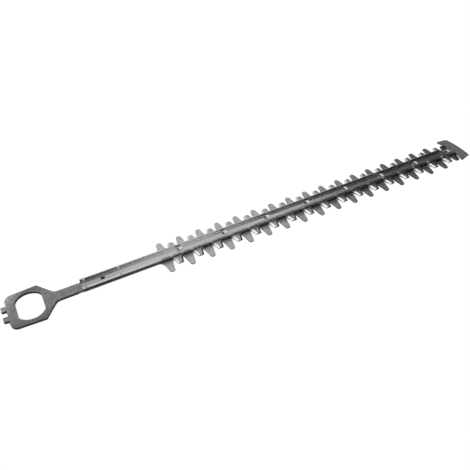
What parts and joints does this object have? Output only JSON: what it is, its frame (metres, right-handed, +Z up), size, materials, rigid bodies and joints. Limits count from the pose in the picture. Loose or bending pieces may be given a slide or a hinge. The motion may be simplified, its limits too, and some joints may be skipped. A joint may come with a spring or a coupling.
{
  "type": "hedge trimmer blade",
  "caption": "Double-sided hedge trimmer blade: a cutter with a drive eye slides between a long-toothed comb and a U-shaped guide rail, with a guard plate across the tip.",
  "frame": {"origin": "middle of the footprint, on the underside of the comb", "axes": "+X along the bar towards the tip guard, +Z up through the stack from the comb to the rail"},
  "size_m": [0.7514, 0.057, 0.0103],
  "materials": {
    "comb_steel": "satin rolled steel",
    "cutter_steel": "satin steel, ground along the teeth",
    "rail_steel": "bright drawn steel",
    "guard_steel": "matte steel",
    "rivet_steel": "bright plated",
    "sleeve_steel": "turned steel"
  },
  "bodies": {
    "bar": {"guard_comb": "comb_steel", "guide_rail": "rail_steel", "tip_guard": "guard_steel", "rail_rivets": "rivet_steel", "tip_rivet": "rivet_steel", "guide_sleeve_1": "sleeve_steel", "guide_sleeve_2": "sleeve_steel", "guide_sleeve_3": "sleeve_steel", "guide_sleeve_4": "sleeve_steel", "guide_sleeve_5": "sleeve_steel", "guide_sleeve_6": "sleeve_steel", "guide_sleeve_7": "sleeve_steel", "guide_sleeve_8": "sleeve_steel"},
    "cutter": {"cutter_blade": "cutter_steel"}
  },
  "joints": [
    {"name": "cutter_slide", "type": "slide", "parent": "bar", "child": "cutter", "axis": [1, 0, 0], "range_m": [-0.005, 0.005]}
  ]
}
